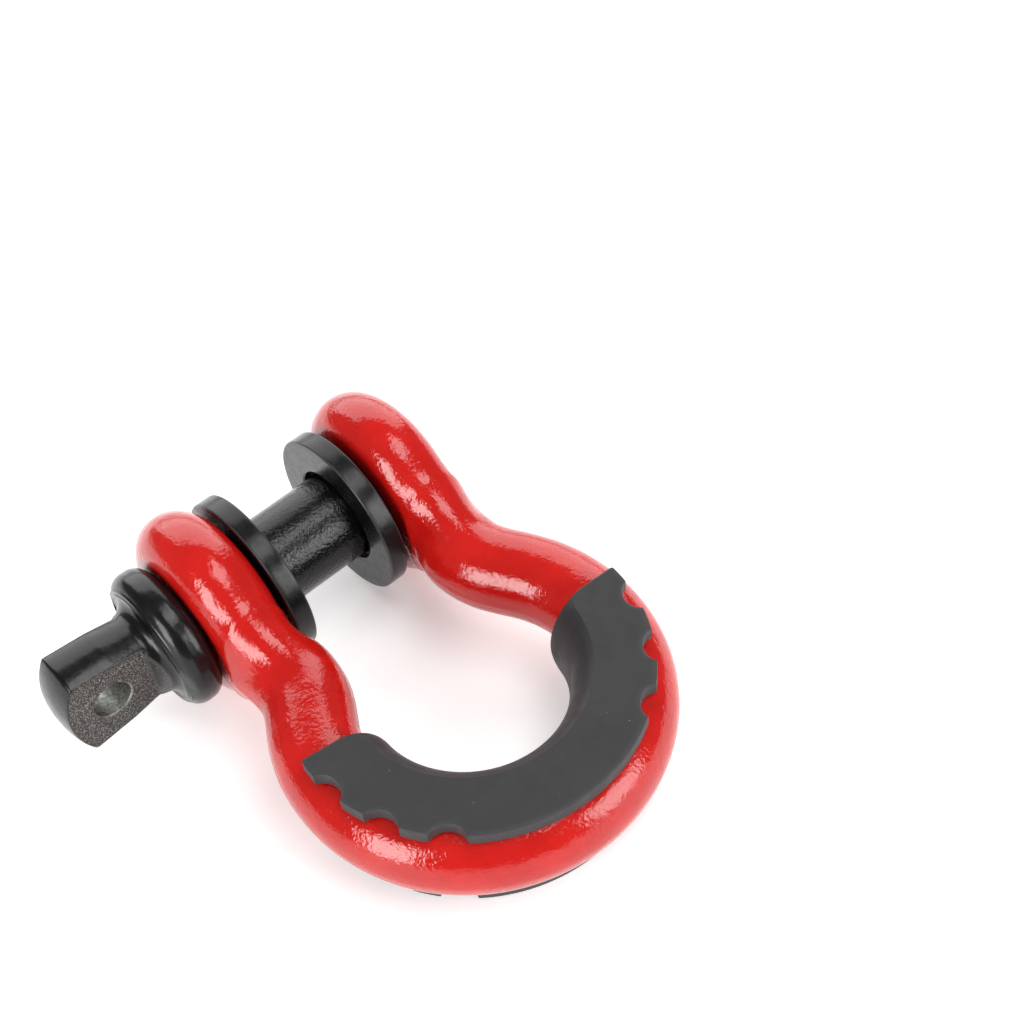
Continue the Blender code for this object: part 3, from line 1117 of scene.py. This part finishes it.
    def grid(self) -> np.ndarray:
        """Rings from the tip to the middle of the dome.

        The shank's rings are flat. The head's rings lean over until the last follows the dome, whose
        depth grows with the distance from the axis, and the dome's own rings shrink to its pole.

        Returns:
            The rings, as (rows, columns, 3).
        """
        angle = self.angles()[None, :]
        shank = self.shank_profile()
        radius, y = shank[:, :1], np.broadcast_to(shank[:, 1:], (len(shank), angle.shape[1]))
        start, runout = self.fit.jaw_face - 1 * MM, self.fit.thread_pitch
        cutting = smooth_step(y, start, start + runout) * (y <= self.tip_y)
        root = self.fit.pin_radius - self.fit.thread_depth * (1 - self.fit.ridge(y, angle)) * cutting
        radius = np.where(y > start, np.minimum(radius, root), radius)
        radius = self.flattened(np.broadcast_to(radius, y.shape), y, angle)
        even = np.ones_like(angle)
        outline = self.flattened(self.head_end_radius * even, self.dome_y * even, angle)

        share = 1 - (1 - np.linspace(0, 1, 64)[1:, None]) ** 1.25
        head_y = self.neck_y + (self.dome_at(outline) - self.neck_y) * share
        head = self.flattened(self.head_radius(head_y), head_y, angle)
        shrink = np.linspace(1, 0, 34)[1:-1, None] ** 0.8
        cap = outline * shrink
        grid = np.concatenate([
            turned(radius, y, angle),
            turned(head, head_y, angle),
            turned(cap, self.dome_at(cap), angle),
        ])
        rim = len(shank) + len(head_y) - 1
        return self.softened(grid, rim, reach=5, passes=9)

    @staticmethod
    def softened(grid: np.ndarray, row: int, reach: int, passes: int) -> np.ndarray:
        """Rounds an edge between two rows by averaging each row near it with its neighbours.

        Args:
            grid: rings of points.
            row: the ring on the edge.
            reach: rings on each side that may move.
            passes: how often they are averaged.

        Returns:
            The same grid with a rounded edge.
        """
        low, high = row - reach, row + reach + 1
        for _ in range(passes):
            grid[low:high] = grid[low:high] / 2 + (grid[low - 1 : high - 1] + grid[low + 1 : high + 1]) / 4
        return grid

    def eye_cutter(self, rest: RestFrame) -> bpy.types.Object:
        """A cylinder along X through the head, opened out a little where it meets each flat.

        Args:
            rest: the shackle's frame.

        Returns:
            A closed cutter that runs past both flats.
        """
        half, wide, past = self.flat_gap / 2, self.eye_radius + self.eye_chamfer, 3 * MM
        x = np.array([0, half - self.eye_chamfer, half, half + past])
        radius = np.array([self.eye_radius, self.eye_radius, wide, wide + past])
        x = np.concatenate([-x[:0:-1], x])
        radius = np.concatenate([radius[:0:-1], radius])
        about_y = turned(radius[:, None], x[:, None], full_turn(96))
        grid = about_y[..., [1, 0, 2]] + [0, self.eye_y, 0]
        poles = np.array([[x[0], self.eye_y, 0], [x[-1], self.eye_y, 0]])
        return skin_grid("eye", rest, grid, poles)

    def build(self, rest: RestFrame, paint: bpy.types.Material) -> bpy.types.Object:
        """Skins the pin, drills its eye and stores where it is blasted, bare, pebbled and worn.

        Args:
            rest: the shackle's frame.
            paint: its material.

        Returns:
            The finished piece.
        """
        poles = np.array([[0, self.tip_y, 0], [0, self.end_y, 0]])
        pin = skin_grid("pin_with_head", rest, self.grid(), poles)
        cut(pin, [self.eye_cutter(rest)])
        own = rest.unplace(vertices_of(pin))
        x, y, radius = own[:, 0], own[:, 1], np.hypot(own[:, 0], own[:, 2])
        off_flat = np.abs(x) - self.flat_gap / 2
        from_eye = np.hypot(y - self.eye_y, own[:, 2])
        in_eye = (from_eye < self.eye_radius + 0.03 * MM) & (off_flat < 0.1 * MM)
        on_flat = (np.abs(off_flat) < 0.06 * MM) & (y < self.flats_y + 0.1 * MM) & ~in_eye
        lift = self.flat_slope * (y - self.flats_y)
        on_ramp = (lift > 0) & (lift < self.blasted_ramp) & (np.abs(off_flat - lift) < 0.12 * MM)
        outer = self.head_radius(np.clip(y, self.dome_y, self.neck_y))
        rim = near(np.abs(radius - outer) + np.abs(off_flat), 0.55 * MM) * (y < self.flats_y)
        jaw = self.fit.jaw_face
        thread = smooth_step(y, jaw, jaw + 2 * MM)
        crest = thread * smooth_step(radius, self.fit.pin_radius - 0.35 * MM, self.fit.pin_radius)
        shank = smooth_step(-np.abs(y), -jaw - 1 * MM, -jaw + 1 * MM)
        set_attribute(pin, "bare", in_eye.astype(float))
        set_attribute(pin, "blasted", on_flat + 0.35 * on_ramp)
        set_attribute(pin, "wear_and_painted_light", np.clip(0.9 * rim + 0.7 * crest, 0, 1))
        set_attribute(pin, "pebbled", 0.10 + 0.90 * shank)
        pin.data.materials.append(paint)
        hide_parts("screw_pin")
        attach(pin, "pin")
        return pin


@dataclass
class Washer:
    """A thick loose washer with broken edges and fine turning rings."""

    name: str
    body: str
    node: str
    rest_y: float
    rim_radius: float = 20.8 * MM
    thickness: float = 4.8 * MM
    bore_radius: float = 12.3 * MM
    edge: float = 0.5 * MM
    sides: int = 256

    def profile(self) -> np.ndarray:
        """The closed section about the washer's own middle, each corner a quarter arc.

        Returns:
            (radius, y) points, without a repeat of the first.
        """
        half, edge = self.thickness / 2, self.edge
        outer, inner = self.rim_radius - edge, self.bore_radius + edge
        corners = [
            arc((outer, half - edge), edge, np.pi / 2, 0, 6),
            arc((outer, edge - half), edge, 0, -np.pi / 2, 6),
            arc((inner, edge - half), edge, -np.pi / 2, -np.pi, 6),
            arc((inner, half - edge), edge, np.pi, np.pi / 2, 6),
        ]
        loop = np.concatenate([*corners, corners[0][:1]])
        return resampled(loop, 0.8 * MM)[:-1]

    def build(self, rest: RestFrame, finish: bpy.types.Material) -> bpy.types.Object:
        """Turns the section about the pin's axis and stores the distance along it for the rings.

        Args:
            rest: the shackle's frame.
            finish: its material.

        Returns:
            The finished piece.
        """
        profile = self.profile()
        grid = turned(profile[:, :1], profile[:, 1:] + self.rest_y, full_turn(self.sides))
        washer = skin_grid(self.name, rest, grid, wrap_rows=True)
        steps = np.linalg.norm(np.diff(profile, axis=0), axis=1)
        along = np.concatenate([[0], np.cumsum(steps)])
        set_attribute(washer, "along", np.repeat(along, self.sides))
        # the broken edges are stored to be painted paler: worn edges with a painted highlight along them
        half = self.thickness / 2
        corner = np.minimum(np.abs(profile[:, 0] - self.rim_radius), np.abs(profile[:, 0] - self.bore_radius))
        broken = (corner > 0.02 * MM) & (corner < self.edge) & (np.abs(profile[:, 1]) > half - self.edge)
        set_attribute(washer, "wear_and_painted_light", np.repeat(0.5 * broken, self.sides))
        washer.data.materials.append(finish)
        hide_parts(self.node)
        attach(washer, self.body)
        return washer


@dataclass
class Guard:
    """The moulded guard: two flat plates and a rounded saddle, carried round the crown."""

    bow: Bow
    half_angle: float = np.radians(93)
    turn: float = np.radians(-6.5)
    wall: float = 3.6 * MM
    nose: float = 5.8 * MM
    rim_radius: float = 40.2 * MM
    rim_edge: float = 0.45 * MM
    notch_radius: float = 4.6 * MM
    notch_depth: float = 2.7 * MM
    notch_degrees: tuple[float, ...] = (40, 60, 80)
    end_rounding: float = 0.6 * MM
    end_corner: float = 5.0 * MM
    end_nose: float = 0.9 * MM

    @property
    def channel_radius(self) -> float:
        """Radius of the channel that grips the bar."""
        return self.bow.bar_radius + self.bow.fit.fit_gap

    @property
    def half_height(self) -> float:
        """Half the guard's height over its two plates."""
        return self.channel_radius + self.wall

    @property
    def crease_radius(self) -> float:
        """Distance from the crown's centre to where a plate turns into the saddle."""
        return self.bow.bow_radius - self.half_height + self.nose

    @property
    def notch_centre(self) -> float:
        """Distance from the crown's centre to the middle of a notch's circle."""
        return self.rim_radius - self.notch_depth + self.notch_radius

    @property
    def notch_turns(self) -> np.ndarray:
        """Where the notches' middles lie round the crown, on both sides."""
        return np.radians([*self.notch_degrees, *(-place for place in self.notch_degrees)])

    def turns(self) -> np.ndarray:
        """Places round the crown, with a station on every corner of every notch and crowded ends.

        A notch takes the turn away up to where its circle crosses the rim's, by the cosine rule.

        Returns:
            The turns, in order.
        """
        centre = self.notch_centre
        cosine = (self.rim_radius**2 + centre**2 - self.notch_radius**2) / (2 * self.rim_radius * centre)
        reach = np.arccos(cosine)
        marks = np.concatenate([self.notch_turns - reach, self.notch_turns + reach])
        edge = self.half_angle
        radius = self.bow.bow_radius
        rounding = self.end_rounding / radius * (1 - np.cos(np.linspace(0, np.pi / 2, 6)))
        rounding = np.append(rounding, self.end_corner / radius * np.linspace(0.15, 1, 12) ** 1.5)
        corners = np.concatenate([rounding - edge, marks, edge - rounding])
        return resampled(np.unique(corners)[:, None], np.radians(0.75))[:, 0]

    def rim_at(self, turn: np.ndarray) -> np.ndarray:
        """Radius of the plates' rim: the rim's circle, or the near side of a notch's circle.

        Along the ray at an angle d from a notch's middle, the near side of a circle of radius n
        whose centre is c away lies at c cos d - sqrt(n^2 - c^2 sin^2 d).

        Args:
            turn: places round the crown.

        Returns:
            The radius at each place.
        """
        delta = turn[:, None] - self.notch_turns[None, :]
        inside = self.notch_radius**2 - (self.notch_centre * np.sin(delta)) ** 2
        side = self.notch_centre * np.cos(delta) - np.sqrt(np.maximum(inside, 0))
        side = np.where((inside > 0) & (np.cos(delta) > 0), side, self.rim_radius)
        return np.minimum(side.min(axis=1), self.rim_radius)

    def section(self, rim: np.ndarray, inset: np.ndarray, retreat: np.ndarray) -> np.ndarray:
        """The C-shaped section at each station, as (stations, points, 2) of radius and height.

        The saddle lies midway between two curves through both creases and the nose's tip: a circle's
        arc of radius (h^2 + n^2) / 2n for half height h and nose n, and half an ellipse. So it is
        full, yet meets the plates at a crease. Towards the guard's ends the creases draw back
        further than the tip does, which rounds the plates' corners. Every point keeps its place in
        the loop, so the stations join in a grid.

        Args:
            rim: rim radius at each station.
            inset: how far the rounded ends pull the section in from its faces.
            retreat: 1 at the guard's ends and 0 away from them.

        Returns:
            The loop of points at each station.
        """
        top = (self.half_height - inset)[:, None]
        rim, inset, retreat = rim[:, None] - inset[:, None], inset[:, None], retreat[:, None]
        crease = self.crease_radius + self.end_corner * retreat
        tip = self.crease_radius - self.nose + self.end_nose * retreat + inset
        nose = crease - tip
        bend_radius = (top**2 + nose**2) / (2 * nose)
        reach = np.arcsin(np.clip(top / bend_radius, -1, 1))
        even = np.linspace(1, -1, 31)[None, :]
        arc_r, arc_z = tip + bend_radius * (1 - np.cos(reach * even)), bend_radius * np.sin(reach * even)
        oval_r, oval_z = crease - nose * np.cos(even * np.pi / 2), top * np.sin(even * np.pi / 2)
        saddle_r, saddle_z = (arc_r + oval_r) / 2, (arc_z + oval_z) / 2
        channel = self.channel_radius + inset
        bend = np.linspace(3 * np.pi / 2, np.pi / 2, 40)[None, :]
        edge = self.rim_edge
        corner = np.linspace(-np.pi / 2, 0, 5)[None, :]
        across = np.linspace(0, 1, 14)[None, 1:-1]
        lower = [
            (crease + (rim - edge - crease) * across, -top),
            (rim - edge + edge * np.cos(corner), -top + edge + edge * np.sin(corner)),
            (rim - edge + edge * np.cos(corner[:, ::-1]), -channel - edge - edge * np.sin(corner[:, ::-1])),
            (self.bow.bow_radius + (rim - edge - self.bow.bow_radius) * across[:, ::-1], -channel),
        ]
        upper = [(r[:, ::-1], -z[:, ::-1]) for r, z in reversed(lower)]
        middle = (self.bow.bow_radius + channel * np.cos(bend), channel * np.sin(bend))
        loops = [(saddle_r, saddle_z), *lower, middle, *upper]
        return np.concatenate([np.stack(np.broadcast_arrays(r, z), axis=-1) for r, z in loops], axis=1)

    def build(self, rest: RestFrame, finish: bpy.types.Material) -> bpy.types.Object:
        """Carries the section round the crown, closes its ends flat and marks the rim faces to be painted
        paler, partly rubbed and partly painted light.

        Args:
            rest: the shackle's frame.
            finish: its material.

        Returns:
            The finished piece.
        """
        turn = self.turns()
        from_end = (self.half_angle - np.abs(turn)) * self.bow.bow_radius
        share = np.clip(from_end / self.end_rounding, 0, 1)
        inset = self.end_rounding * (1 - np.sqrt(1 - (1 - share) ** 2))
        corner = np.clip(from_end / self.end_corner, 0, 1)
        retreat = 1 - np.sqrt(1 - (1 - corner) ** 2)
        section = self.section(self.rim_at(turn), inset, retreat)
        angle = (turn + self.turn)[:, None]
        radius, height = section[..., 0], section[..., 1]
        grid = np.stack([self.bow.centre_x + radius * np.cos(angle), radius * np.sin(angle), height], axis=-1)
        rows, columns = grid.shape[:2]
        guard = skin_grid("moulded_guard", rest, grid)
        self.close_ends(guard, rows, columns)
        # the rim faces of the plates and the notches are painted paler, partly rubbed and partly a painted
        # light
        edge_r = np.abs(radius - self.rim_at(turn)[:, None])
        rubbed_and_painted_light = near(edge_r, 0.7 * MM) * (radius > self.bow.bow_radius)
        set_attribute(guard, "wear_and_painted_light", (0.8 * rubbed_and_painted_light).reshape(-1))
        guard.data.materials.append(finish)
        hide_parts("bow_guard")
        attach(guard, "guard")
        return guard

    @staticmethod
    def close_ends(guard: bpy.types.Object, rows: int, columns: int) -> None:
        """Closes the first and last ring of the guard with one flat face each, facing outwards.

        Args:
            guard: the open tube.
            rows: number of rings.
            columns: points on each ring.
        """
        mesh = bmesh.new()
        mesh.from_mesh(guard.data)
        mesh.verts.ensure_lookup_table()
        for start in (0, (rows - 1) * columns):
            face = mesh.faces.new([mesh.verts[start + k] for k in range(columns)])
            face.smooth = True
        bmesh.ops.recalc_face_normals(mesh, faces=mesh.faces)
        mesh.to_mesh(guard.data)
        mesh.free()
        guard.data.set_sharp_from_angle(angle=np.radians(28))


# ---- Stage


@dataclass(frozen=True)
class PaleCard:
    """The matte pale card that the shackle lies on. It glows a little though it is no lamp, which fades the
    shadows on it.
    """

    light: Colour = (0.90, 0.90, 0.895)
    shade: Colour = (0.87, 0.87, 0.87)
    gloss: Range = (0.55, 0.65)
    grain_depth: float = 0.01 * MM
    glow: float = 0.36

    def build(self) -> bpy.types.Material:
        """Mixes a slow drift of tone with a faint paper grain and glow.

        Returns:
            The card's finish.
        """
        bench = NodeBench("pale_card")
        colour = bench.blend(bench.patches(60 * MM, 3), self.light, self.shade)
        grain = bench.bump(bench.noise(0.6 * MM, 2), self.grain_depth)
        # the card's glow is painted light that lifts the shadows on it
        bench.shader.inputs["Emission Color"].default_value = (1.0, 1.0, 1.0, 1.0)
        bench.fix(Emission_Strength=self.glow)
        return bench.finish(colour, bench.patches(20 * MM, 2, self.gloss), grain)


@dataclass(frozen=True)
class Panel:
    """One soft light: a rectangle that looks at the shackle from an azimuth and an elevation."""

    name: str
    azimuth: float
    elevation: float
    distance: float
    size: tuple[float, float]
    power: float

    def build(self) -> None:
        """Makes the light, facing the middle of the shackle."""
        data = bpy.data.lights.new(self.name, "AREA")
        data.shape = "RECTANGLE"
        data.size, data.size_y = self.size
        data.energy = self.power
        lamp = linked(self.name, data)
        lamp.matrix_world = Aim(self.azimuth, self.elevation).matrix(SHACKLE_MIDDLE, self.distance)


@dataclass(frozen=True)
class Aim:
    """A direction to look from, in degrees, with a roll about it."""

    azimuth: float
    elevation: float
    roll: float = 0.0

    def matrix(self, target: tuple[float, float, float], distance: float) -> Matrix:
        """The world matrix of something that looks at target from distance away.

        Its back axis points from the target: (sin az cos el, -cos az cos el, sin el). The right and
        up axes stand square to it, turned by the roll.

        Args:
            target: the point that is looked at.
            distance: how far off it stands.

        Returns:
            The matrix.
        """
        az, el, roll = np.radians([self.azimuth, self.elevation, self.roll])
        back = np.array([np.sin(az) * np.cos(el), -np.cos(az) * np.cos(el), np.sin(el)])
        level = np.array([np.cos(az), np.sin(az), 0.0])
        upright = np.cross(back, level)
        right = level * np.cos(roll) + upright * np.sin(roll)
        up = upright * np.cos(roll) - level * np.sin(roll)
        matrix = np.eye(4)
        matrix[:3, :3] = np.column_stack([right, up, back])
        matrix[:3, 3] = np.array(target) + distance * back
        return Matrix(matrix.tolist())


@dataclass
class Stage:
    """Floor, sky, panels and camera."""

    lens: float = 60.434
    target: tuple[float, float, float] = (-11.922 * MM, 52.657 * MM, 21.992 * MM)
    distance: float = 405.649 * MM
    aim: Aim = Aim(56.705, 46.744, -11.0606)
    floor_half: float = 5.0
    sky: float = 0.20

    def build(self, panels: list[Panel]) -> None:
        """Lays the floor, lights the room and sets the camera.

        Args:
            panels: the soft lights.
        """
        self.floor()
        self.world()
        for panel in panels:
            panel.build()
        self.camera()
        bpy.context.scene.view_settings.view_transform = "Standard"

    def floor(self) -> None:
        """A flat card under the shackle, at the height of the floor."""
        half = self.floor_half
        corners = np.array([[-half, -half, 0], [half, -half, 0], [half, half, 0], [-half, half, 0]])
        mesh = bpy.data.meshes.new("floor_card")
        mesh.from_pydata(corners.tolist(), [], [[0, 1, 2, 3]])
        mesh.materials.append(PaleCard().build())
        card = linked("floor_card", mesh)

    def world(self) -> None:
        """An even white sky."""
        world = bpy.data.worlds.new("sky")
        world.use_nodes = True
        inputs = world.node_tree.nodes["Background"].inputs
        inputs["Color"].default_value = (1.0, 1.0, 1.0, 1.0)
        inputs["Strength"].default_value = self.sky
        bpy.context.scene.world = world

    def camera(self) -> None:
        """The camera, set as the scene's own."""
        data = bpy.data.cameras.new("camera")
        data.lens = self.lens
        data.sensor_width = 36.0
        data.clip_start = 0.01
        camera = linked("camera", data)
        camera.matrix_world = self.aim.matrix(self.target, self.distance)
        bpy.context.scene.camera = camera


PANELS = [
    Panel("window_front", azimuth=12, elevation=21, distance=1.5, size=(0.62, 1.00), power=18.5),
    Panel("window_side", azimuth=117, elevation=20, distance=1.5, size=(0.78, 0.90), power=14.0),
    Panel("overhead", azimuth=120, elevation=68, distance=1.4, size=(0.90, 0.60), power=8.6),
    Panel("wall_behind", azimuth=-120, elevation=32, distance=1.6, size=(2.6, 1.6), power=34.0),
]


def main() -> None:
    """Builds every piece in order, then the stage."""
    logging.basicConfig(level=logging.INFO, format="%(name)s: %(message)s")
    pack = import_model()
    rest = RestFrame.from_pack(pack)
    fit = PinFit()
    bow = Bow(fit)
    black_washer = TurnedBlack().build()
    pieces = [
        bow.build(rest, ForgedRedPaint().build()),
        Pin(fit).build(rest, BlackPinPaint().build()),
        Washer("washer_at_head", "head_washer", "head_side_washer", -14.1 * MM).build(rest, black_washer),
        Washer("washer_at_tip", "tip_washer", "tip_side_washer", 13.0 * MM).build(rest, black_washer),
        Guard(bow).build(rest, MouldedRubber().build()),
    ]
    for piece in pieces:
        LOG.info("piece %s: %d vertices", piece.name, len(piece.data.vertices))
    Stage().build(PANELS)


if __name__ == "__main__":
    main()
